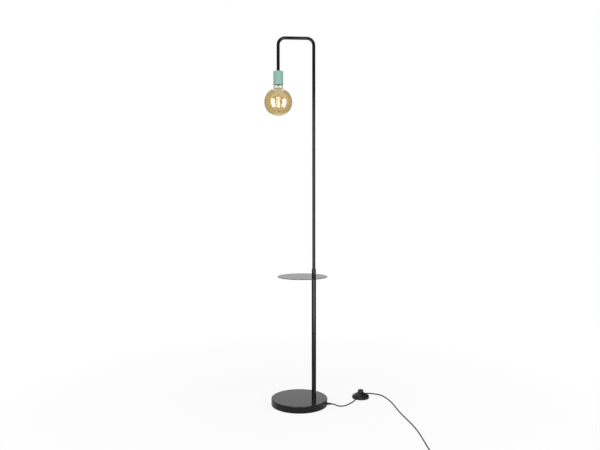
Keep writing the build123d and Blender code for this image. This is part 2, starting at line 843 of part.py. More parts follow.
def spiral_quarters(start, heading, radius, quarters, change):
    """End points and headings of tangent quarter turns to the right, each of its own radius."""
    stops = [(start, heading)]
    for index in range(quarters):
        here, ahead = stops[-1]
        turn_r = radius + (index + 0.5) * change
        right = Vector(ahead.Y, -ahead.X, 0)
        stops.append((here + ahead * turn_r + right * turn_r, right))
    return stops


coil_heading = Vector(0, -1, 0)
coil_first = coil_mid + Vector(coil_start_r, 0, coil_low)
inward = spiral_quarters(
    coil_first, coil_heading, coil_start_r, round(4 * coil_turns_in), -coil_step / 4
)
climb_from, climb_heading = inward[-1]
climb_side = Vector(climb_heading.Y, -climb_heading.X, 0)
climb_to = climb_from + climb_side * (2 * coil_inner_r) + Vector(0, 0, coil_layer)
climb_lean = (climb_to - climb_from).normalized()
climb_mid = (climb_from + climb_to) * 0.5 + climb_heading * ((climb_to - climb_from).length / 2)
outward = spiral_quarters(
    climb_to, climb_heading * -1, coil_inner_r, round(4 * coil_turns_out), coil_step / 4
)
coil_last, exit_heading = outward[-1]
coil_entry = coil_first - coil_heading * cord_d
coil_exit = coil_last + exit_heading * coil_exit_run

with BuildPart() as lead_coil:
    with BuildLine() as coil_line:
        Line(coil_entry, coil_first)
        for (here, ahead), (there, _) in zip(inward, inward[1:]):
            TangentArc(here, there, tangent=ahead)
        TangentArc(climb_from, climb_mid, tangent=climb_heading)
        TangentArc(climb_mid, climb_to, tangent=climb_lean)
        for (here, ahead), (there, _) in zip(outward, outward[1:]):
            TangentArc(here, there, tangent=ahead)
        Line(coil_last, coil_exit)
    with BuildSketch(Plane(origin=coil_entry, z_dir=coil_heading)):
        Circle(cord_r)
    sweep(path=coil_line.wires()[0])
coil_wire = coil_line.wires()[0]
coil_length = coil_wire.length
coil_samples = 600
samples = [coil_wire @ (index / coil_samples) for index in range(coil_samples + 1)]
apart = round(coil_samples * math.pi * coil_inner_r / coil_length)
least_gap = min(
    (samples[a] - samples[b]).length - cord_d
    for a in range(coil_samples + 1)
    for b in range(a + apart, coil_samples + 1)
)
coil_share = lead_coil.part.volume / (math.pi * cord_r**2 * coil_length)
print("lead_coil length", round(coil_length, 1), "least gap to itself", round(least_gap, 2))
print("lead_coil volume over section times length", round(coil_share, 4))
save(lead_coil, "lead_coil")

# Free lead from the switch: turns towards the front and runs out to the coil
second_points = [
    switch_mid + lead_level + switch_u * lead_stop,
    switch_mid + lead_level + switch_u * (switch_d / 2 + lead_run_out),
    Vector(337, 110.5, 4.5),
    Vector(358, 107.5, cord_r),
    Vector(379, 94.5, cord_r),
    Vector(395, 70, cord_r),
    Vector(405, 36, cord_r),
    Vector(412, -8, cord_r),
    Vector(416, -60, cord_r),
    Vector(417, -116, cord_r),
    Vector(421, -176, cord_r),
    Vector(429, -240, cord_r),
    Vector(436, -310, cord_r),
    Vector(438, -382, cord_r),
    Vector(435, -455, cord_r),
    Vector(431, -528, cord_r),
    coil_entry - coil_heading * coil_entry_run,
    coil_entry,
]
cord_tube("lead_switch_to_coil", second_points, cord_radii(second_points))

# Strap round the coil where the climbing half turn crosses it
tie_dir = Vector(climb_mid.X - coil_x, climb_mid.Y - coil_y, 0).normalized()
tie_sag = coil_inner_r - math.sqrt(coil_inner_r**2 - (tie_w / 2) ** 2)
tie_inner = (climb_mid - coil_mid).dot(tie_dir) - cord_r - tie_gap - tie_sag
tie_outer = coil_start_r + cord_r + tie_gap
tie_plane = Plane(
    origin=coil_mid + tie_dir * ((tie_inner + tie_outer) / 2) + Vector(0, 0, (coil_low + coil_high) / 2),
    x_dir=tie_dir,
    z_dir=Vector(-tie_dir.Y, tie_dir.X, 0),
)
tie_wide = tie_outer - tie_inner
tie_tall = coil_layer + cord_d + 2 * tie_gap
with BuildPart() as coil_tie:
    with BuildSketch(tie_plane.offset(-tie_w / 2)):
        RectangleRounded(tie_wide + 2 * tie_t, tie_tall + 2 * tie_t, cord_r + tie_t)
        RectangleRounded(tie_wide, tie_tall, cord_r, mode=Mode.SUBTRACT)
    extrude(amount=tie_w)
save(coil_tie, "coil_tie")

# Two-pin plug, lying flat beside the coil
plug_plane = Plane(origin=coil_exit, x_dir=(exit_heading.Y, -exit_heading.X, 0), z_dir=exit_heading)
plug_t = 2 * coil_high
with BuildPart() as plug_body:
    with BuildSketch(plug_plane):
        Circle(cord_r + plug_boot_lip)
    with BuildSketch(plug_plane.offset(plug_boot_len)):
        Circle(plug_boot_d / 2)
    loft()
    with BuildSketch(plug_plane.offset(plug_boot_len)):
        RectangleRounded(plug_w - 2 * plug_root_side, plug_t - 2 * plug_root_top, plug_corner_r)
    with BuildSketch(plug_plane.offset(plug_boot_len + plug_len / 2)):
        RectangleRounded(plug_w, plug_t, plug_corner_r)
    loft()
    with BuildSketch(plug_plane.offset(plug_boot_len + plug_len / 2)):
        RectangleRounded(plug_w, plug_t, plug_corner_r)
    extrude(amount=plug_len / 2)
    fillet(plug_body.faces().sort_by(Axis(coil_exit, exit_heading))[-1].edges(), edge_break)
    with BuildSketch(plug_plane.offset(plug_boot_len + plug_len - pin_root)):
        with GridLocations(pin_spacing, 1, 2, 1):
            Circle(pin_d / 2 + thread_gap)
    extrude(amount=pin_root, mode=Mode.SUBTRACT)
save(plug_body, "plug_body")

with BuildPart() as plug_pins:
    with BuildSketch(plug_plane.offset(plug_boot_len + plug_len - pin_root)):
        with GridLocations(pin_spacing, 1, 2, 1):
            Circle(pin_d / 2)
    extrude(amount=pin_root + pin_len)
    fillet(plug_pins.faces().sort_by(Axis(coil_exit, exit_heading))[-2:].edges(), pin_d / 4)
save(plug_pins, "plug_pins")
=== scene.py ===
# %% [markdown]
# A shelf floor lamp: a heavy round base, a pole with a round shelf, a tube bent over at
# the top and a bare amber globe in a mint socket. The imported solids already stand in
# their places, in metres, so this lesson only adds what the eye needs: finishes, a
# smooth mains lead, rolled screw threads and the light of a small studio.

# %% Load the lamp
import math

import bmesh
import bpy
from mathutils import Matrix, Vector


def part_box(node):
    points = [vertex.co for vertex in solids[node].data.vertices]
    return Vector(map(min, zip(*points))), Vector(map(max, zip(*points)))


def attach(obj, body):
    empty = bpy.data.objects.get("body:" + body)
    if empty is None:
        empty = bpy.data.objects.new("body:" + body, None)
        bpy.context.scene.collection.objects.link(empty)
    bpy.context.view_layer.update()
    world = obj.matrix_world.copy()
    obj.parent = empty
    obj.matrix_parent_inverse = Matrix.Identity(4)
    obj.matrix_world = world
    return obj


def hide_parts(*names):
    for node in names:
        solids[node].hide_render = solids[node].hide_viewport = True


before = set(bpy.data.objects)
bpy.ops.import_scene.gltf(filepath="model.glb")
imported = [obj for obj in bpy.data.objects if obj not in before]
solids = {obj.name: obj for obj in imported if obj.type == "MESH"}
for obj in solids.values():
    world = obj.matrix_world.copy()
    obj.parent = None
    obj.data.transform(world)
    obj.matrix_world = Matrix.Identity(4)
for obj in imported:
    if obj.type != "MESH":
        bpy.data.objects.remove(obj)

for leftover in ("Cube", "Light", "Camera"):
    if leftover in bpy.data.objects:
        bpy.data.objects.remove(bpy.data.objects[leftover])
scene = bpy.context.scene
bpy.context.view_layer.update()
MM = 0.001

# %% [markdown]
# The camera. The outlines of the base, the shelf, the pole and the globe fix where it
# stood: about 2.7 m in front of the lamp, a little to its left and 0.92 m up, looking down
# by two and a half degrees and turned to the right by nearly five. The picture is a hair
# out of level, so the camera has the same slight roll. A camera object looks along its own
# -Z, so 90 degrees about X makes it level.

# %% Camera
SENSOR_WIDE_MM = 36.0
LENS_MM = 37.0775
VIEW_DEPTH = 60.0
CAMERA_AT = (-0.219718, -2.713515, 0.921496)
LOOK_DOWN = 2.5309
ROLL = 0.08
TURN_RIGHT = 4.7112
camera_data = bpy.data.cameras.new("camera")
camera_data.sensor_width = SENSOR_WIDE_MM
camera_data.sensor_fit = "HORIZONTAL"
camera_data.lens = LENS_MM
camera_data.clip_end = VIEW_DEPTH
camera = bpy.data.objects.new("camera", camera_data)
camera.location = CAMERA_AT
camera.rotation_euler = (math.radians(90.0 - LOOK_DOWN), math.radians(ROLL), math.radians(-TURN_RIGHT))
scene.collection.objects.link(camera)
scene.camera = camera
print("camera at", tuple(round(v, 3) for v in camera.location))

# %% [markdown]
# A few helpers serve every finish. Colours are written as sRGB hex, the way a paint chart
# gives them, and one function turns them into the linear numbers that the shaders use.
# Another adds a node, sets what it is given and links what is already a socket. The rest
# turn a size in millimetres into a texture's scale, start a material and put it on solids.


# %% Colour and node helpers
def linear(code):
    """Linear RGBA of an sRGB hex colour such as 98C1B5."""
    channels = [int(code[i:i + 2], 16) / 255 for i in (0, 2, 4)]
    curve = [c / 12.92 if c <= 0.04045 else ((c + 0.055) / 1.055) ** 2.4 for c in channels]
    return (*curve, 1.0)


def add(tree, kind, inputs, **settings):
    """One node with its settings, its input values and its links."""
    node = tree.nodes.new(kind)
    for name, value in settings.items():
        setattr(node, name, value)
    for name, value in inputs.items():
        if isinstance(value, bpy.types.NodeSocket):
            tree.links.new(value, node.inputs[name])
        else:
            node.inputs[name].default_value = value
    return node


def per_metre(size_mm):
    """Scale of a texture whose features are size_mm across, on coordinates in metres."""
    return 1.0 / (size_mm * MM)


def start_finish(name, sockets):
    """A new material: its tree, its shader with constant sockets set, and Object coordinates."""
    material = bpy.data.materials.new(name)
    material.use_nodes = True
    tree = material.node_tree
    shader = tree.nodes["Principled BSDF"]
    for socket, value in sockets.items():
        shader.inputs[socket].default_value = value
    place = add(tree, "ShaderNodeTexCoord", {}).outputs["Object"]
    return material, tree, shader, place


def dress(material, *names):
    """Give solids their finish."""
    for name in names:
        mesh = solids[name].data
        mesh.materials.clear()
        mesh.materials.append(material)
    print(material.name, "on", ", ".join(names))


# %% [markdown]
# The mains lead comes before the finishes, because it decides how much floor the lamp
# needs. It is a round PVC lead of 5.5 mm, stiff enough to lie in wide curves. A NURBS
# spline that uses the route's points as control points cuts the corners the way such a
# lead does. Both routes are in millimetres, and their points follow the lead in the
# photograph. The first stretch leaves the boot on the base, droops to the floor and enters
# the foot switch.

# %% Lead from the base to the foot switch
CORD_D = 5.5
RING_STEPS = 5
RUN_STEPS = 6
first_route = [
    (140.059, -37.529, 10), (151.651, -40.634, 9.2), (166, -46.5, 2.75), (182, -50.5, 2.75),
    (198, -46.5, 2.75), (213, -33.5, 2.75), (229, -14, 2.75), (245.5, 6, 2.75), (256.807, 21.27, 8),
    (271.251, 40.437, 8),
]


def lay_lead(name, route):
    """A round lead along one open NURBS spline; the route is in millimetres."""
    curve = bpy.data.curves.new(name, "CURVE")
    curve.dimensions = "3D"
    # A depth of 1 is multiplied by the radius of each point.
    curve.bevel_depth = 1.0
    curve.bevel_resolution = RING_STEPS
    curve.resolution_u = RUN_STEPS
    curve.use_fill_caps = True
    spline = curve.splines.new("NURBS")
    spline.points.add(len(route) - 1)
    for point, (x, y, z) in zip(spline.points, route):
        point.co = (x * MM, y * MM, z * MM, 1.0)
        point.radius = CORD_D / 2 * MM
    spline.order_u = 3
    spline.use_endpoint_u = True
    lead = bpy.data.objects.new(name, curve)
    scene.collection.objects.link(lead)
    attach(lead, "stand")
    print(name, "control points", len(route))
    return lead


lead_to_switch = lay_lead("lead_to_switch", first_route)
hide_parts("lead_base_to_switch")

# %% [markdown]
# The second stretch leaves the foot switch, turns to the front and runs out of the
# picture. What nobody sees there is put away as a neat coil: it spirals in on the floor,
# climbs one layer in a half turn and spirals out again on top. A loop places 16 control
# points on each turn. A quadratic spline runs a little inside its control points, so they
# stand out by the cosine of half a step.

# %% Lead from the foot switch, with its coil
second_route = [
    (303.749, 83.563, 8), (316.989, 101.133, 8), (337, 110.5, 4.5), (358, 107.5, 2.75),
    (379, 94.5, 2.75), (395, 70, 2.75), (405, 36, 2.75), (412, -8, 2.75), (416, -60, 2.75),
    (417, -116, 2.75), (421, -176, 2.75), (429, -240, 2.75), (436, -310, 2.75),
    (438, -382, 2.75), (435, -455, 2.75), (431, -528, 2.75), (430.35, -581.5, 3.85),
    (430.35, -616.5, 3.85),
]
COIL_MID = Vector((392.0, -622.0, 0.0))
COIL_INNER_R = 23.5
COIL_STEP = 6.6
COIL_LOW = 3.85
COIL_LAYER = 6.1
QUARTERS_IN = 9
QUARTERS_UP = 2
QUARTERS_OUT = 10
PER_QUARTER = 4
COIL_EXIT_RUN = 16.5
STAND_OUT = 1.0 / math.cos(math.radians(90.0 / PER_QUARTER / 2))


def coil_turns(start, heading, radius, quarters, change, climb=0.0):
    """Control points of quarter turns to the right, and where they end and head."""
    points = []
    for index in range(quarters):
        turn_r = radius + (index + 0.5) * change
        right = Vector((heading.y, -heading.x, 0.0))
        centre = start + right * turn_r
        for part in range(1, PER_QUARTER + 1):
            angle = math.radians(90.0 * part / PER_QUARTER)
            reach = heading * math.sin(angle) - right * math.cos(angle)
            point = centre + reach * (turn_r * STAND_OUT)
            point.z = start.z + climb * part / PER_QUARTER
            points.append(point)
        start = centre + heading * turn_r + Vector((0.0, 0.0, climb))
        heading = right
    return points, start, heading


outer_r = COIL_INNER_R + QUARTERS_IN / 4 * COIL_STEP
ahead = Vector((0.0, -1.0, 0.0))
corner = COIL_MID + Vector((outer_r, 0.0, COIL_LOW))
turns_in, corner, ahead = coil_turns(corner, ahead, outer_r, QUARTERS_IN, -COIL_STEP / 4)
turn_up, corner, ahead = coil_turns(
    corner, ahead, COIL_INNER_R, QUARTERS_UP, 0.0, COIL_LAYER / QUARTERS_UP,
)
turns_out, corner, ahead = coil_turns(corner, ahead, COIL_INNER_R, QUARTERS_OUT, COIL_STEP / 4)
plug_start = corner + ahead * COIL_EXIT_RUN
coil_points = turns_in + turn_up + turns_out + [corner + ahead * (COIL_EXIT_RUN / 2), plug_start]
lead_to_plug = lay_lead("lead_to_plug", second_route + [tuple(p) for p in coil_points])
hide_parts("lead_switch_to_coil", "lead_coil")
print("plug starts at", tuple(round(v, 2) for v in plug_start))

# %% [markdown]
# Black powder coat covers the base, both poles, the shelf and its collar. Powder melts
# into a slightly dimpled skin, called orange peel, with dimples somewhat over a millimetre
# wide, so the highlight is soft and a little broken up. It is not a metal to the eye: a
# dark plastic-like film that goes pale only at a flat angle.

# %% Black powder coat
coat, tree, shader, place = start_finish("black_powder_coat", {"IOR": 1.36})
pigment = add(tree, "ShaderNodeTexNoise", {"Vector": place, "Scale": per_metre(0.6), "Detail": 3.0})
shade = add(tree, "ShaderNodeMix", {"Factor": pigment.outputs["Fac"]}, data_type="RGBA")
shade.inputs["A"].default_value = linear("0A0A0B")
shade.inputs["B"].default_value = linear("131313")
tree.links.new(shade.outputs["Result"], shader.inputs["Base Color"])
handling = add(tree, "ShaderNodeTexNoise", {"Vector": place, "Scale": per_metre(55.0), "Detail": 4.0})
gloss = add(tree, "ShaderNodeMapRange", {"Value": handling.outputs["Fac"], "To Min": 0.18, "To Max": 0.24})
tree.links.new(gloss.outputs["Result"], shader.inputs["Roughness"])
peel = add(tree, "ShaderNodeTexNoise", {"Vector": place, "Scale": per_metre(1.4), "Detail": 1.0})
relief = add(tree, "ShaderNodeBump", {
    "Height": peel.outputs["Fac"], "Strength": 0.06, "Distance": 0.02 * MM,
})
tree.links.new(relief.outputs["Normal"], shader.inputs["Normal"])
dress(coat, "base_cover", "lower_pole", "shelf", "shelf_collar", "upper_pole")

# %% [markdown]
# The socket cover is a drawn steel cup in mint lacquer. Sprayed lacquer flows out before
# it dries, so its peel is a little wider than the powder's and its colour is nearly even.
# Its gloss is satin: the studio shows in it only as a soft glow.

# %% Mint lacquer
mint, tree, shader, place = start_finish("mint_lacquer", {"IOR": 1.48})
cloud = add(tree, "ShaderNodeTexNoise", {"Vector": place, "Scale": per_metre(14.0), "Detail": 3.0})
shade = add(tree, "ShaderNodeMix", {"Factor": cloud.outputs["Fac"]}, data_type="RGBA")
shade.inputs["A"].default_value = linear("8FC3B2")
shade.inputs["B"].default_value = linear("99CBBC")
tree.links.new(shade.outputs["Result"], shader.inputs["Base Color"])
gloss = add(tree, "ShaderNodeMapRange", {"Value": cloud.outputs["Fac"], "To Min": 0.38, "To Max": 0.46})
tree.links.new(gloss.outputs["Result"], shader.inputs["Roughness"])
peel = add(tree, "ShaderNodeTexNoise", {"Vector": place, "Scale": per_metre(1.6), "Detail": 1.0})
relief = add(tree, "ShaderNodeBump", {
    "Height": peel.outputs["Fac"], "Strength": 0.12, "Distance": 0.05 * MM,
})
tree.links.new(relief.outputs["Normal"], shader.inputs["Normal"])
dress(mint, "socket_cover")

# %% [markdown]
# The globe is blown soda-lime glass with an amber film baked on. The film stops at the
# neck, which stays clear just under the socket. The wall is modelled with both its
# faces, so the shader can be plain glass, and the film is a colour that changes along the
# bulb's own height. Layer Weight paints light at the outline: the film is painted paler
# there, a painted reflection, and the clear neck darker, a painted shade. A coat with a
# high index gives the film its strong gloss.

# %% Amber glass
# Heights in metres.
FILM_END = 1.400
FILM_FADE = 0.006
bulb_low, bulb_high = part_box("bulb_glass")
amber, tree, shader, place = start_finish("amber_glass", {
    "Transmission Weight": 1.0, "IOR": 1.5, "Roughness": 0.0,
    "Coat Weight": 1.0, "Coat IOR": 1.7, "Coat Roughness": 0.02,
})
along = add(tree, "ShaderNodeSeparateXYZ", {"Vector": place})
clear = add(tree, "ShaderNodeMapRange", {
    "Value": along.outputs["Z"], "From Min": FILM_END - FILM_FADE, "From Max": FILM_END,
})
# Painted light at the outline: the film paler, a painted reflection; the clear neck darker, a painted
# shade.
painted_outline = add(tree, "ShaderNodeLayerWeight", {"Blend": 0.35})
film = add(tree, "ShaderNodeMix", {"Factor": painted_outline.outputs["Facing"]}, data_type="RGBA")
film.inputs["A"].default_value = linear("E0CC9A")
film.inputs["B"].default_value = linear("E6DCC2")
bare = add(tree, "ShaderNodeMix", {"Factor": painted_outline.outputs["Facing"]}, data_type="RGBA")
bare.inputs["A"].default_value = linear("F0EEE8")
bare.inputs["B"].default_value = linear("C8C6BE")
wall = add(tree, "ShaderNodeMix", {
    "Factor": clear.outputs["Result"], "A": film.outputs["Result"], "B": bare.outputs["Result"],
}, data_type="RGBA")
tree.links.new(wall.outputs["Result"], shader.inputs["Base Color"])
dress(amber, "bulb_glass")
print("globe from", round(bulb_low.z, 4), "to", round(bulb_high.z, 4))

# %% [markdown]
# The mount inside the globe is drawn from clear glass and carries the wires. It is plain
# glass with hardly any tint. Glass worked in a flame is never quite even, so it is a trace
# rougher than the globe.

# %% Clear glass of the mount
stem_glass = start_finish("clear_glass", {
    "Transmission Weight": 1.0, "IOR": 1.5, "Roughness": 0.02, "Base Color": linear("F4F6F4"),
})[0]
dress(stem_glass, "bulb_stem")

# %% [markdown]
# Plated metals. The threaded rods, bushes and screws are zinc-plated steel, drawn with a
# fine lengthwise grain. The bulb's cap and wires and the plug's pins are nickel-plated.
# The shell that the cap screws into is plain brass, and so are the contacts. All are
# metals, so their colour is the colour of their reflection.

# %% Plated metals
GRAIN_LENGTH = 20.0
metals = {}
for name, pale, dark, low_gloss, high_gloss in (
    ("zinc_plate", "C9CCCB", "A9ADAE", 0.30, 0.45),
    ("nickel_plate", "D6D2C8", "BDB8AC", 0.22, 0.34),
    ("plain_brass", "D9B46A", "B98F45", 0.25, 0.40),
):
    metal, tree, shader, place = start_finish(name, {"Metallic": 1.0})
    grain_way = add(tree, "ShaderNodeMapping", {"Vector": place, "Scale": (1.0, 1.0, 1.0 / GRAIN_LENGTH)})
    grain = add(tree, "ShaderNodeTexNoise", {
        "Vector": grain_way.outputs["Vector"], "Scale": per_metre(0.5), "Detail": 3.0,
    })
    shade = add(tree, "ShaderNodeMix", {"Factor": grain.outputs["Fac"]}, data_type="RGBA")
    shade.inputs["A"].default_value = linear(dark)
    shade.inputs["B"].default_value = linear(pale)
    tree.links.new(shade.outputs["Result"], shader.inputs["Base Color"])
    gloss = add(tree, "ShaderNodeMapRange", {
        "Value": grain.outputs["Fac"], "To Min": low_gloss, "To Max": high_gloss,
    })
    tree.links.new(gloss.outputs["Result"], shader.inputs["Roughness"])
    metals[name] = metal
dress(metals["zinc_plate"], "base_rod", "base_washer", "base_nut", "lower_pole_foot_bush",
      "lower_pole_top_bush", "shelf_rod", "arm_end_bush", "socket_rod", "switch_screws", "terminal_screws")
dress(metals["nickel_plate"], "bulb_tip", "filament_wires", "plug_pins")
dress(metals["plain_brass"], "centre_contact", "terminals")

# %% [markdown]
# Moulded and rubbery pieces. Each has the grain of its mould, half a millimetre to a
# millimetre wide, which shows as a broken highlight, and its own gloss. One loop makes them
# all from a short table: colour, darker colour, gloss range, grain size and depth. The
# black glass bead in the bulb's cap is made the same way, with a high gloss.

# %% Plastics and rubber
moulded = {}
for name, pale, dark, low_gloss, high_gloss, grain_mm, depth_mm in (
    ("moulded_abs", "1A1A1B", "111112", 0.34, 0.46, 0.5, 0.03),
    ("phenolic", "1C1816", "120F0E", 0.28, 0.38, 0.8, 0.02),
    ("pvc_sheath", "1B1B1C", "121213", 0.38, 0.50, 0.7, 0.02),
    ("soft_rubber", "1D1D1D", "131313", 0.60, 0.75, 0.6, 0.05),
    ("white_nylon", "E3E2DC", "D6D4CC", 0.42, 0.52, 0.7, 0.02),
    ("fused_bead", "141416", "0B0B0D", 0.08, 0.16, 1.2, 0.02),
):
    plastic, tree, shader, place = start_finish(name, {"IOR": 1.5})
    grain = add(tree, "ShaderNodeTexNoise", {"Vector": place, "Scale": per_metre(grain_mm), "Detail": 3.0})
    shade = add(tree, "ShaderNodeMix", {"Factor": grain.outputs["Fac"]}, data_type="RGBA")
    shade.inputs["A"].default_value = linear(dark)
    shade.inputs["B"].default_value = linear(pale)
    tree.links.new(shade.outputs["Result"], shader.inputs["Base Color"])
    gloss = add(tree, "ShaderNodeMapRange", {
        "Value": grain.outputs["Fac"], "To Min": low_gloss, "To Max": high_gloss,
    })
    tree.links.new(gloss.outputs["Result"], shader.inputs["Roughness"])
    relief = add(tree, "ShaderNodeBump", {
        "Height": grain.outputs["Fac"], "Strength": 0.3, "Distance": depth_mm * MM,
    })
    tree.links.new(relief.outputs["Normal"], shader.inputs["Normal"])
    moulded[name] = plastic
dress(moulded["moulded_abs"], "switch_base", "switch_cover", "switch_button", "plug_body")
dress(moulded["phenolic"], "holder_cap", "holder_skirt", "contact_carrier")
dress(moulded["pvc_sheath"], "inner_lead")
dress(moulded["soft_rubber"], "base_boot", "switch_feet")
dress(moulded["white_nylon"], "switch_block", "switch_plunger")
dress(moulded["fused_bead"], "bulb_insulator")
for lead in (lead_to_switch, lead_to_plug):
    lead.data.materials.append(moulded["pvc_sheath"])

# %% [markdown]
# The cores of a lead are brown and blue, so that they can be told apart. In the
# lampholder they part to the two sides of the arm, so the side decides the colour there.
# In the foot switch the pair lies side by side across the lead, so the pattern is turned
# to the switch's own direction.

# %% Core insulation
SWITCH_MID = Vector((287.5, 62.0, 0.0)) * MM
SWITCH_TURN = math.radians(53.0)
arm_x = (bulb_low.x + bulb_high.x) / 2
for name, middle, turn, axis, solid in (
    ("core_insulation_holder", Vector((arm_x, 0.0, 0.0)), 0.0, "X", "holder_cores"),
    ("core_insulation_switch", SWITCH_MID, SWITCH_TURN, "Y", "switch_cores"),
):
    core, tree, shader, place = start_finish(name, {"Roughness": 0.45, "IOR": 1.5})
    turned = add(tree, "ShaderNodeMapping", {
        "Vector": place, "Location": middle, "Rotation": (0.0, 0.0, turn),
    }, vector_type="TEXTURE")
    across = add(tree, "ShaderNodeSeparateXYZ", {"Vector": turned.outputs["Vector"]})
    side = add(tree, "ShaderNodeMath", {0: across.outputs[axis], 1: 0.0}, operation="GREATER_THAN")
    shade = add(tree, "ShaderNodeMix", {"Factor": side.outputs["Value"]}, data_type="RGBA")
    shade.inputs["A"].default_value = linear("5A3A22")
    shade.inputs["B"].default_value = linear("2F5C9E")
    tree.links.new(shade.outputs["Result"], shader.inputs["Base Color"])
    dress(core, solid)

# %% [markdown]
# The weight in the base is cast cement: grey, dull, with sand in it and small air
# pockets. Nobody sees it until the pad comes off, but it belongs to the lamp.

# %% Cast cement
cement, tree, shader, place = start_finish("cast_cement", {"Roughness": 0.9, "IOR": 1.5})
sand = add(tree, "ShaderNodeTexNoise", {"Vector": place, "Scale": per_metre(2.0), "Detail": 6.0})
shade = add(tree, "ShaderNodeMix", {"Factor": sand.outputs["Fac"]}, data_type="RGBA")
shade.inputs["A"].default_value = linear("7F7C76")
shade.inputs["B"].default_value = linear("B4B0A8")
tree.links.new(shade.outputs["Result"], shader.inputs["Base Color"])
pockets = add(tree, "ShaderNodeTexVoronoi", {"Vector": place, "Scale": per_metre(6.0)})
relief = add(tree, "ShaderNodeBump", {
    "Height": pockets.outputs["Distance"], "Strength": 0.4, "Distance": 0.4 * MM,
})
tree.links.new(relief.outputs["Normal"], shader.inputs["Normal"])
dress(cement, "base_weight")

# %% [markdown]
# New pieces all end the same way: the bmesh becomes a mesh, gets smooth shading with
# sharp edges kept, takes a finish and rides on a body of the lamp.


# %% Helper for finished pieces
SHARP_FROM = math.radians(38.0)


def finish_piece(name, shape, finishes, body):
    """Turn a bmesh into a piece that rides on a body."""
    mesh = bpy.data.meshes.new(name)
    shape.to_mesh(mesh)
    shape.free()
    mesh.polygons.foreach_set("use_smooth", [True] * len(mesh.polygons))
    mesh.set_sharp_from_angle(angle=SHARP_FROM)
    for finish in finishes:
        mesh.materials.append(finish)
    piece = bpy.data.objects.new(name, mesh)
    scene.collection.objects.link(piece)
    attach(piece, body)
    print(name, "faces", len(mesh.polygons))
    return piece


# %% [markdown]
# Under the base sits a disc of black needle felt, glued on so that the lamp slides and
# doesn't scratch. Felt is dull, with a little sheen from the fibre ends and a bump of
# tangled fibres.

# %% Needle felt
felt, tree, shader, place = start_finish("needle_felt", {
    "Roughness": 0.95, "Sheen Weight": 0.35, "Sheen Roughness": 0.5,
})
fibre = add(tree, "ShaderNodeTexNoise", {
    "Vector": place, "Scale": per_metre(0.8), "Detail": 6.0, "Distortion": 2.0,
})
shade = add(tree, "ShaderNodeMix", {"Factor": fibre.outputs["Fac"]}, data_type="RGBA")
shade.inputs["A"].default_value = linear("101010")
shade.inputs["B"].default_value = linear("2A2A2B")
tree.links.new(shade.outputs["Result"], shader.inputs["Base Color"])
relief = add(tree, "ShaderNodeBump", {
    "Height": fibre.outputs["Fac"], "Strength": 0.8, "Distance": 0.3 * MM,
})
tree.links.new(relief.outputs["Normal"], shader.inputs["Normal"])
print("finish", felt.name)

# %% [markdown]
# The disc starts as a circle, which is extruded to its thickness. Its rims are bevelled,
# because cut felt is never sharp.

# %% Felt pad
PAD_SIDES = 128
PAD_EDGE = 0.6 * MM
# Ends of an edge that differ by less than this are level.
TINY = MM / 100
pad_low, pad_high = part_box("base_pad")
pad_r = (pad_high.x - pad_low.x) / 2
shape = bmesh.new()
disc = bmesh.ops.create_circle(shape, cap_ends=True, segments=PAD_SIDES, radius=pad_r)
bmesh.ops.translate(shape, verts=disc["verts"], vec=(0.0, 0.0, pad_low.z))
top = bmesh.ops.extrude_face_region(shape, geom=shape.faces[:])
raised = [item for item in top["geom"] if isinstance(item, bmesh.types.BMVert)]
bmesh.ops.translate(shape, verts=raised, vec=(0.0, 0.0, pad_high.z - pad_low.z))
rim = [edge for edge in shape.edges if abs(edge.verts[0].co.z - edge.verts[1].co.z) < TINY]
bmesh.ops.bevel(shape, geom=rim, offset=PAD_EDGE, segments=3, profile=0.5, affect="EDGES", material=-1)
bmesh.ops.recalc_face_normals(shape, faces=shape.faces[:])
felt_pad = finish_piece("felt_pad", shape, [felt], "stand")
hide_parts("base_pad")

# %% [markdown]
# The bulb's cap and the shell that it screws into are thin sheet, rolled into the same
# round thread: 3.63 mm from crest to crest. A wavy profile is spun once round the axis
# while it rises by one pitch, so each turn meets the next and the doubles merge into one
# helical sheet. Two planes cut it to length, and Solidify gives it the wall. Cap and shell
# share their phase, so the crests stay apart while the bulb is unscrewed.


# %% Rolled screw threads
PITCH = 3.629
THREAD_DEPTH = 1.1
STEPS_ROUND = 72
PER_PITCH = 10
SPARE_LOW = 2
SPARE_HIGH = 1
phase_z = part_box("thread_shell")[0].z / MM


def rolled_sheet(low, high, crest_r):
    """A helical sheet round the bulb's axis between two heights; sizes in millimetres."""
    sheet = bmesh.new()
    # The spare pitches below and above leave something for the planes to cut off.
    count = math.ceil((high - low) / PITCH + SPARE_LOW + SPARE_HIGH) * PER_PITCH
    start = low - SPARE_LOW * PITCH
    line = []
    for index in range(count + 1):
        z = start + index * PITCH / PER_PITCH
        wave = (1.0 + math.cos(2.0 * math.pi * (z - phase_z) / PITCH)) / 2.0
        line.append(sheet.verts.new((arm_x + (crest_r - THREAD_DEPTH * (1.0 - wave)) * MM, 0.0, z * MM)))
    for one, other in zip(line, line[1:]):
        sheet.edges.new((one, other))
    bmesh.ops.spin(
        sheet, geom=sheet.verts[:] + sheet.edges[:], cent=(arm_x, 0.0, 0.0), axis=(0.0, 0.0, 1.0),
        dvec=(0.0, 0.0, PITCH * MM / STEPS_ROUND), angle=2.0 * math.pi, steps=STEPS_ROUND, use_merge=False,
    )
    bmesh.ops.remove_doubles(sheet, verts=sheet.verts[:], dist=TINY)
    for height, side in ((low, -1.0), (high, 1.0)):
        bmesh.ops.bisect_plane(
            sheet, geom=sheet.verts[:] + sheet.edges[:] + sheet.faces[:], plane_co=(0.0, 0.0, height * MM),
            plane_no=(0.0, 0.0, side), clear_outer=True,
        )
    bmesh.ops.recalc_face_normals(sheet, faces=sheet.faces[:])
    return sheet


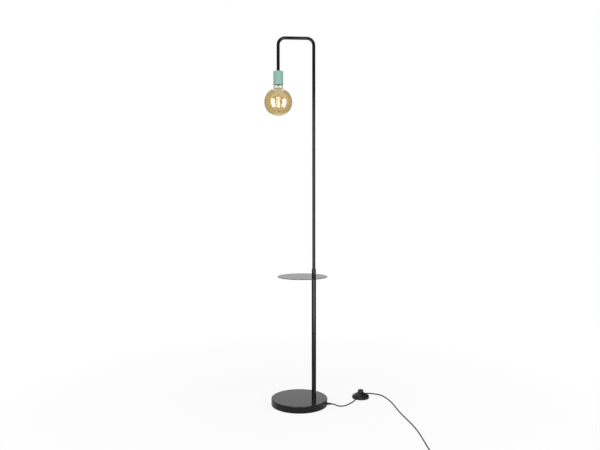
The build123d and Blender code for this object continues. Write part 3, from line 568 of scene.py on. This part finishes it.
def spun_ring(sheet, profile):
    """Add an open line of (radius, height) in millimetres, spun all the way round the axis."""
    line = [sheet.verts.new((arm_x + r * MM, 0.0, z * MM)) for r, z in profile]
    edges = [sheet.edges.new(pair) for pair in zip(line, line[1:])]
    bmesh.ops.spin(
        sheet, geom=line + edges, cent=(arm_x, 0.0, 0.0), axis=(0.0, 0.0, 1.0), dvec=(0.0, 0.0, 0.0),
        angle=2.0 * math.pi, steps=STEPS_ROUND, use_merge=True,
    )


def give_wall(piece, wall_mm):
    """A sheet metal wall, half on each side of the sheet."""
    wall = piece.modifiers.new("wall", "SOLIDIFY")
    wall.thickness = wall_mm * MM
    wall.offset = 0.0


# %% [markdown]
# The cap of the bulb has a plain collar at its mouth, next to the glass, and a shoulder
# that closes in on the insulator. Both are short lines spun round the axis, and the rolled
# thread lies between them.

# %% Cap of the bulb
CAP_WALL = 0.3
THREAD_START = 4.6
THREAD_STOP = 2.0
# How far in from the cap's radius, and how far from its lower or upper edge.
COLLAR = ((0.3, 0.0), (0.3, 4.2), (0.6, 4.8))
SHOULDER = ((0.9, 2.2), (1.2, 0.8), (1.9, 0.2), (4.0, 0.2))
cap_low, cap_high = (corner_point.z / MM for corner_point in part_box("bulb_cap"))
cap_r = (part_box("bulb_cap")[1].x - arm_x) / MM
shape = rolled_sheet(cap_low + THREAD_START, cap_high - THREAD_STOP, cap_r - CAP_WALL / 2)
spun_ring(shape, [(cap_r - inward, cap_low + up) for inward, up in COLLAR])
spun_ring(shape, [(cap_r - inward, cap_high - down) for inward, down in SHOULDER])
bmesh.ops.recalc_face_normals(shape, faces=shape.faces[:])
threaded_cap = finish_piece("threaded_cap", shape, [metals["nickel_plate"]], "bulb")
give_wall(threaded_cap, CAP_WALL)
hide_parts("bulb_cap")

# %% [markdown]
# The shell in the lampholder is the same sheet in brass, a little wider and without ends
# of its own.

# %% Thread shell of the lampholder
SHELL_WALL = 0.4
shell_low, shell_high = (corner_point.z / MM for corner_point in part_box("thread_shell"))
shell_r = (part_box("thread_shell")[1].x - arm_x) / MM
shape = rolled_sheet(shell_low, shell_high, shell_r - SHELL_WALL / 2)
threaded_shell = finish_piece("threaded_shell", shape, [metals["plain_brass"]], "stand")
give_wall(threaded_shell, SHELL_WALL)
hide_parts("thread_shell")

# %% [markdown]
# Inside the globe stand four light sticks: a row of tiny diodes on a strip, dipped in
# yellow phosphor, with a bare metal tab at each end. The diodes face outwards, so a stick
# glows white on its outer face and only amber on its back. That makes two finishes of the
# same phosphor.

# %% Phosphor
phosphors = []
for name, glow, strength in (("phosphor_back", "FFA640", 0.9), ("phosphor_face", "FFF2E2", 12.0)):
    phosphor, tree, shader, place = start_finish(name, {
        "Roughness": 0.55, "Emission Color": linear(glow), "Emission Strength": strength,
    })
    grain = add(tree, "ShaderNodeTexNoise", {"Vector": place, "Scale": per_metre(0.6), "Detail": 2.0})
    shade = add(tree, "ShaderNodeMix", {"Factor": grain.outputs["Fac"]}, data_type="RGBA")
    shade.inputs["A"].default_value = linear("D98E2B")
    shade.inputs["B"].default_value = linear("EDB04A")
    tree.links.new(shade.outputs["Result"], shader.inputs["Base Color"])
    phosphors.append(phosphor)
print("finishes", [phosphor.name for phosphor in phosphors])

# %% [markdown]
# The sticks spread a little towards the top. Each is a cylinder with rounded ends, built
# upright at the origin with its tabs and then leaned into place. A face counts as the
# outer one when its normal is close enough to the outward direction.

# %% Light sticks
STICK_COUNT = 4
STICK_SIDES = 20
STICK_R = 1.1 * MM
STICK_EDGE = 0.7 * MM
FOOT_RING = 4.0 * MM
TAB_SIDES = 10
TAB_R = 0.45 * MM
TAB_LEN = 3.0 * MM
TAB_FINISH = 2
FACE_SHARE = 0.7
stick_low, stick_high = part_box("filaments")
head_ring = (stick_high.x - stick_low.x) / 2 - STICK_R
shape = bmesh.new()
for index in range(STICK_COUNT):
    angle = 2.0 * math.pi * index / STICK_COUNT
    outward = Vector((math.cos(angle), math.sin(angle), 0.0))
    foot = Vector((arm_x, 0.0, stick_low.z)) + outward * FOOT_RING
    head = Vector((arm_x, 0.0, stick_high.z)) + outward * head_ring
    tall = (head - foot).length
    others = set(shape.verts)
    made = bmesh.ops.create_cone(
        shape, cap_ends=True, segments=STICK_SIDES, radius1=STICK_R, radius2=STICK_R,
        depth=tall - 2 * TAB_LEN,
    )
    ends = [edge for edge in {e for v in made["verts"] for e in v.link_edges}
            if abs(edge.verts[0].co.z - edge.verts[1].co.z) < TINY]
    bmesh.ops.bevel(
        shape, geom=ends, offset=STICK_EDGE, segments=3, profile=0.5, affect="EDGES", material=-1,
    )
    tab = bmesh.ops.create_cone(
        shape, cap_ends=True, segments=TAB_SIDES, radius1=TAB_R, radius2=TAB_R, depth=tall,
    )
    lean = (head - foot).to_track_quat("Z", "Y").to_matrix().to_4x4()
    bmesh.ops.transform(
        shape, verts=list(set(shape.verts) - others), matrix=Matrix.Translation((foot + head) / 2) @ lean,
    )
    shape.normal_update()
    tabs = {face for vert in tab["verts"] for face in vert.link_faces}
    for face in {face for vert in set(shape.verts) - others for face in vert.link_faces}:
        outer = int(face.normal.dot(outward) > FACE_SHARE)
        face.material_index = TAB_FINISH if face in tabs else outer
light_sticks = finish_piece(
    "light_sticks", shape, phosphors + [metals["nickel_plate"]], "bulb",
)
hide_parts("filaments")

# %% [markdown]
# A hook-and-loop strap holds the coil. Its face is a pile of tiny nylon loops, dull and
# with a little sheen, drawn here as small cells.

# %% Hook-and-loop weave
strap_weave, tree, shader, place = start_finish("hook_and_loop", {"Roughness": 0.85, "Sheen Weight": 0.2})
loops = add(tree, "ShaderNodeTexVoronoi", {"Vector": place, "Scale": per_metre(0.6)})
shade = add(tree, "ShaderNodeMix", {"Factor": loops.outputs["Distance"]}, data_type="RGBA")
shade.inputs["A"].default_value = linear("0F0F10")
shade.inputs["B"].default_value = linear("2B2B2C")
tree.links.new(shade.outputs["Result"], shader.inputs["Base Color"])
relief = add(tree, "ShaderNodeBump", {
    "Height": loops.outputs["Distance"], "Strength": 0.6, "Distance": 0.2 * MM,
})
tree.links.new(relief.outputs["Normal"], shader.inputs["Normal"])
print("finish", strap_weave.name)

# %% [markdown]
# The strap starts from four corner points, which a vertex bevel rounds. The loop is
# extruded to the strap's width and Solidify makes it thick. A short tail lies over its
# top, where the two ends overlap.

# %% Coil strap
STRAP_MID = Vector((361.619, -623.096, 6.9)) * MM
STRAP_TURN = math.radians(-177.934)
STRAP_WIDE = 22.0 * MM
STRAP_TALL = 12.2 * MM
STRAP_W = 9.0 * MM
STRAP_T = 0.8 * MM
STRAP_CORNER = 2.9 * MM
TAIL_STOPS = (-0.35 * STRAP_WIDE, 0.0, 0.3 * STRAP_WIDE)
shape = bmesh.new()
half_w = (STRAP_WIDE + STRAP_T) / 2
half_t = (STRAP_TALL + STRAP_T) / 2
corners = [shape.verts.new((x, -STRAP_W / 2, z)) for x, z in (
    (-half_w, -half_t), (half_w, -half_t), (half_w, half_t), (-half_w, half_t),
)]
for index in range(4):
    shape.edges.new((corners[index], corners[(index + 1) % 4]))
bmesh.ops.bevel(
    shape, geom=corners, offset=STRAP_CORNER, segments=6, profile=0.5, affect="VERTICES", material=-1,
)
tail_z = half_t + STRAP_T
tail_points = [shape.verts.new((x, -STRAP_W / 2, tail_z)) for x in TAIL_STOPS]
for one, other in zip(tail_points, tail_points[1:]):
    shape.edges.new((one, other))
wide = bmesh.ops.extrude_edge_only(shape, edges=shape.edges[:])
moved = [item for item in wide["geom"] if isinstance(item, bmesh.types.BMVert)]
bmesh.ops.translate(shape, verts=moved, vec=(0.0, STRAP_W, 0.0))
bmesh.ops.transform(
    shape, verts=shape.verts[:], matrix=Matrix.Translation(STRAP_MID) @ Matrix.Rotation(STRAP_TURN, 4, "Z"),
)
bmesh.ops.recalc_face_normals(shape, faces=shape.faces[:])
strap = finish_piece("coil_strap", shape, [strap_weave], "stand")
give_wall(strap, STRAP_T / MM)
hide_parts("coil_tie")

# %% [markdown]
# The plug has a ribbed neck that lets the lead bend gently. The ribs are turned pieces:
# short cylinders with bevelled rims, laid along the way that the lead leaves the coil and
# growing with the neck.

# %% Ribs on the plug's neck
NECK_LEN = 28.0
NECK_ROOT_R = 5.5
NECK_TIP_R = 3.15
RIB_COUNT = 6
RIB_W = 2.4
RIB_RISE = 0.7
RIB_EDGE = 0.6
RIB_SHIFT = 0.8
TURNED_SIDES = 40
lay_down = Matrix.Rotation(math.radians(-90.0), 4, "Y")


def turned_disc(sheet, radius_mm, length_mm, middle_mm, edge_mm):
    """A bevelled cylinder that lies along the plug; sizes in millimetres."""
    made = bmesh.ops.create_cone(
        sheet, cap_ends=True, segments=TURNED_SIDES, radius1=radius_mm * MM, radius2=radius_mm * MM,
        depth=length_mm * MM, matrix=Matrix.Translation(Vector(middle_mm) * MM) @ lay_down,
    )
    rims = [edge for edge in {e for v in made["verts"] for e in v.link_edges}
            if abs(edge.verts[0].co.x - edge.verts[1].co.x) < TINY]
    bmesh.ops.bevel(
        sheet, geom=rims, offset=edge_mm * MM, segments=3, profile=0.5, affect="EDGES", material=-1,
    )


shape = bmesh.new()
for index in range(RIB_COUNT):
    along_neck = NECK_LEN * (index + RIB_SHIFT) / RIB_COUNT
    local_r = NECK_TIP_R + (NECK_ROOT_R - NECK_TIP_R) * along_neck / NECK_LEN
    spot = (plug_start.x - along_neck, plug_start.y, plug_start.z)
    turned_disc(shape, local_r + RIB_RISE, RIB_W, spot, RIB_EDGE)
plug_ribs = finish_piece("plug_neck_ribs", shape, [moulded["moulded_abs"]], "stand")

# %% [markdown]
# Black sleeves cover the first part of each pin, so that a half-drawn plug shows no live
# metal. They are turned the same way and start just inside the plug's face.

# %% Sleeves on the plug's pins
SLEEVE_LEN = 10.0
SLEEVE_R = 2.15
SLEEVE_EDGE = 0.25
SLEEVE_SUNK = 0.2
PIN_SPACING = 19.0
sleeve_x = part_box("plug_body")[0].x / MM - SLEEVE_LEN / 2 + SLEEVE_SUNK
shape = bmesh.new()
for side in (-1, 1):
    spot = (sleeve_x, plug_start.y + side * PIN_SPACING / 2, plug_start.z)
    turned_disc(shape, SLEEVE_R, SLEEVE_LEN, spot, SLEEVE_EDGE)
pin_sleeves = finish_piece("plug_pin_sleeves", shape, [moulded["moulded_abs"]], "stand")

# %% [markdown]
# The two cords are printed by name. The foot switch is on the first, the coil and the plug on
# the second.

print("cords", lead_to_switch.name, "and", lead_to_plug.name)

# %% [markdown]
# The studio. Floor and world look plain white to the camera, and reflections and glass
# see that white too. One helper tells those rays from the ones that only carry light.


# %% Rays that see the studio
def seeing_rays(tree):
    """Light Path, and a socket that is 1 for rays of the camera, of gloss and of glass."""
    path = add(tree, "ShaderNodeLightPath", {})
    seen = path.outputs["Is Camera Ray"]
    for kind in ("Is Glossy Ray", "Is Transmission Ray"):
        either = add(tree, "ShaderNodeMath", {0: seen, 1: path.outputs[kind]}, operation="MAXIMUM")
        seen = either.outputs["Value"]
    return path, seen


# %% [markdown]
# The floor is pale and catches the lamp's soft shadow. Further out it turns into the same
# white as the world, so no horizon shows. In a reflection the floor close to the lamp is
# painted dimmer, a painted shade in place of the shade of the base and the shelf, and that
# keeps the black coat dark.

# %% Floor
FLOOR_R = 9.0
FLOOR_SIDES = 96
FLOOR_DROP = 0.3 * MM
SHADOW_NEAR = 0.45
SHADOW_FAR = 1.5
NEAR_WHITE = 0.9
# Share of white that reflections see near the lamp; the dimmer floor there is painted shade.
NEAR_SHADE_IN_GLOSS = 0.3
WHITE = (1.0, 1.0, 1.0, 1.0)
floor_paint, tree, shader, place = start_finish("studio_floor", {})
path, seen = seeing_rays(tree)
away = add(tree, "ShaderNodeVectorMath", {0: place}, operation="LENGTH")
# Reflections see the floor near the lamp dimmer: a painted shade round the lamp.
near = add(tree, "ShaderNodeMapRange", {
    "Value": path.outputs["Is Glossy Ray"], "To Min": NEAR_WHITE, "To Max": NEAR_SHADE_IN_GLOSS,
})
fade = add(tree, "ShaderNodeMapRange", {
    "Value": away.outputs["Value"], "From Min": SHADOW_NEAR, "From Max": SHADOW_FAR,
    "To Min": near.outputs["Result"], "To Max": 1.0,
})
share = add(tree, "ShaderNodeMath", {0: seen, 1: fade.outputs["Result"]}, operation="MULTIPLY")
matt = add(tree, "ShaderNodeBsdfDiffuse", {"Color": linear("F4F4F3")})
white = add(tree, "ShaderNodeEmission", {"Color": WHITE, "Strength": 1.0})
blend = add(tree, "ShaderNodeMixShader", {
    0: share.outputs["Value"], 1: matt.outputs["BSDF"], 2: white.outputs["Emission"],
})
tree.nodes.remove(shader)
tree.links.new(blend.outputs["Shader"], tree.nodes["Material Output"].inputs["Surface"])

shape = bmesh.new()
bmesh.ops.create_circle(shape, cap_ends=True, segments=FLOOR_SIDES, radius=FLOOR_R)
bmesh.ops.translate(shape, verts=shape.verts[:], vec=(0.0, 0.0, -FLOOR_DROP))
floor_mesh = bpy.data.meshes.new("studio_floor")
shape.to_mesh(floor_mesh)
shape.free()
floor_mesh.materials.append(floor_paint)
floor = bpy.data.objects.new("studio_floor", floor_mesh)
scene.collection.objects.link(floor)
print("floor radius", FLOOR_R)

# %% [markdown]
# The world is plain white where it is seen. As a light it is dimmer, so that together with
# the softboxes a colour looks as it is written, and the Standard view leaves it so.

# %% World
AMBIENT = 0.55
world = bpy.data.worlds.new("studio")
world.use_nodes = True
scene.world = world
tree = world.node_tree
path, seen = seeing_rays(tree)
level = add(tree, "ShaderNodeMapRange", {"Value": seen, "To Min": AMBIENT, "To Max": 1.0})
tree.links.new(level.outputs["Result"], tree.nodes["Background"].inputs["Strength"])
tree.nodes["Background"].inputs["Color"].default_value = WHITE
scene.view_settings.view_transform = "Standard"
print("world lights at", AMBIENT)

# %% [markdown]
# Glass and gloss on a white ground need something dark to show their edges against. A
# photographer stands dark cards left and right of the object, out of the picture, and
# the room behind the camera is dim. The cards here are seen in reflections only, so they
# take no light from the lamp.

# %% Dark cards
CARD_AWAY = 0.32
CARD_FRONT = -0.1
CARD_GREY = "848484"
ROOM_Y = -3.5
ROOM_HALF = 4.0
ROOM_LOW = -0.2
ROOM_TOP = 4.0
ROOM_GREY = "808080"
pole_low, pole_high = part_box("lower_pole")
pole_x = (pole_low.x + pole_high.x) / 2
cards = []
for tier, back, low, high in (("card", 1.6, 1.0, 2.3), ("card_low", 0.8, 0.0, 1.0)):
    for side, x in (("left", arm_x - CARD_AWAY), ("right", pole_x + CARD_AWAY)):
        outline = ((CARD_FRONT, low), (back, low), (back, high), (CARD_FRONT, high))
        cards.append((f"{tier}_{side}", CARD_GREY, [(x, y, z) for y, z in outline]))
outline = ((-ROOM_HALF, ROOM_LOW), (ROOM_HALF, ROOM_LOW), (ROOM_HALF, ROOM_TOP), (-ROOM_HALF, ROOM_TOP))
cards.append(("dim_room", ROOM_GREY, [(x, ROOM_Y, z) for x, z in outline]))
for name, paint, corners in cards:
    shape = bmesh.new()
    shape.faces.new([shape.verts.new(corner) for corner in corners])
    card_mesh = bpy.data.meshes.new(name)
    shape.to_mesh(card_mesh)
    shape.free()
    card_paint = start_finish(name, {
        "Base Color": linear(paint), "Roughness": 1.0, "Specular IOR Level": 0.0,
    })[0]
    card_mesh.materials.append(card_paint)
    card = bpy.data.objects.new(name, card_mesh)
    card.visible_camera = False
    card.visible_diffuse = False
    card.visible_transmission = False
    card.visible_shadow = False
    scene.collection.objects.link(card)
print("cards", [name for name, paint, corners in cards])

# %% [markdown]
# Two tall softboxes stand left and right of the camera. Paint, poles and glass each look
# best with a lamp of their own, so a softbox is listed three times: once for the plain
# light on the paint, once for the soft gleam down the poles, and once for the white windows
# in the globe. The windows are linked to the glass alone, and the other two leave it out.
# A row gives the watts, then width, height, level of the middle and distance in metres,
# and last the angle off the front in degrees.

# %% Softboxes
globe_only = bpy.data.collections.new("globe_only")
globe_only.objects.link(solids["bulb_glass"])
all_but_globe = bpy.data.collections.new("all_but_globe")
all_but_globe.objects.link(solids["bulb_glass"])
all_but_globe.collection_objects[0].light_linking.link_state = "EXCLUDE"
for side in (-1, 1):
    for name, watts, wide, tall, mid_z, away, degrees in (
        ("softbox", 6.0, 1.0, 2.0, 1.13, 1.25, 48.0),
        ("softbox_gleam", 14.0, 0.5, 1.4, 0.8, 1.23, 22.0),
        ("softbox_window", 9.0, 0.44, 0.92, 1.15, 0.75, 45.5),
    ):
        lamp_data = bpy.data.lights.new(f"{name}_{side}", "AREA")
        lamp_data.shape = "RECTANGLE"
        lamp_data.size = wide
        lamp_data.size_y = tall
        lamp_data.energy = watts
        lamp = bpy.data.objects.new(f"{name}_{side}", lamp_data)
        turn = math.radians(degrees) * side
        lamp.location = (arm_x + away * math.sin(turn), -away * math.cos(turn), mid_z)
        lamp.rotation_euler = (math.radians(90.0), 0.0, turn)
        lamp.visible_camera = False
        lamp.visible_diffuse = name == "softbox"
        lamp.visible_glossy = name != "softbox"
        lamp.visible_transmission = False
        lamp.light_linking.receiver_collection = globe_only if name == "softbox_window" else all_but_globe
        scene.collection.objects.link(lamp)
